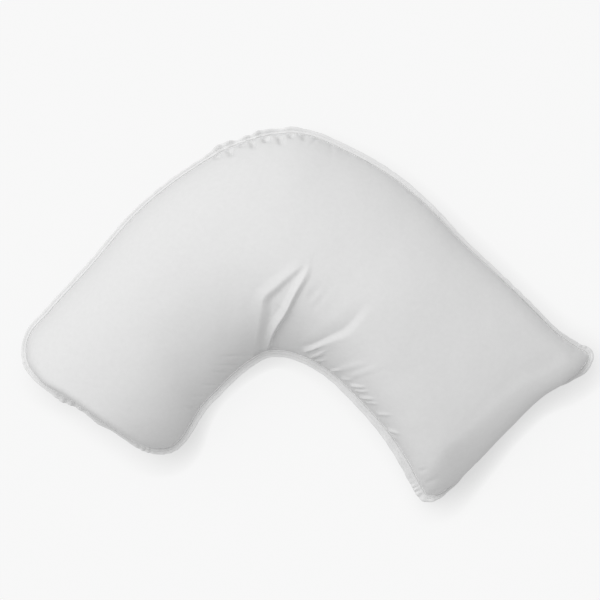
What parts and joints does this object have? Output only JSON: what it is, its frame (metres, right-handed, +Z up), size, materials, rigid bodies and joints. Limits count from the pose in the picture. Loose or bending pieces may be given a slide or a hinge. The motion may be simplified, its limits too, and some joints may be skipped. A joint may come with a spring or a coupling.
{
  "type": "side sleeper pillow",
  "caption": "V-shaped filled bed pillow in plain white cotton, crowned and soft, with a narrow flat sewn edge all round, lying flat on its back.",
  "frame": {"origin": "on the surface it rests on, under the middle of the pillow's outline", "axes": "+X along the pillow's length from the narrow arm's end to the wide arm's tip, +Y out of the bend, +Z up"},
  "size_m": [0.7682, 0.4992, 0.1555],
  "materials": {
    "cover_cotton": "matt percale cotton, very fine plain weave, smooth and taut",
    "edge_cotton": "the same cotton, folded and stitched flat"
  },
  "bodies": {
    "root": {"pillow": "cover_cotton", "edge_flange": "edge_cotton"}
  },
  "joints": []
}
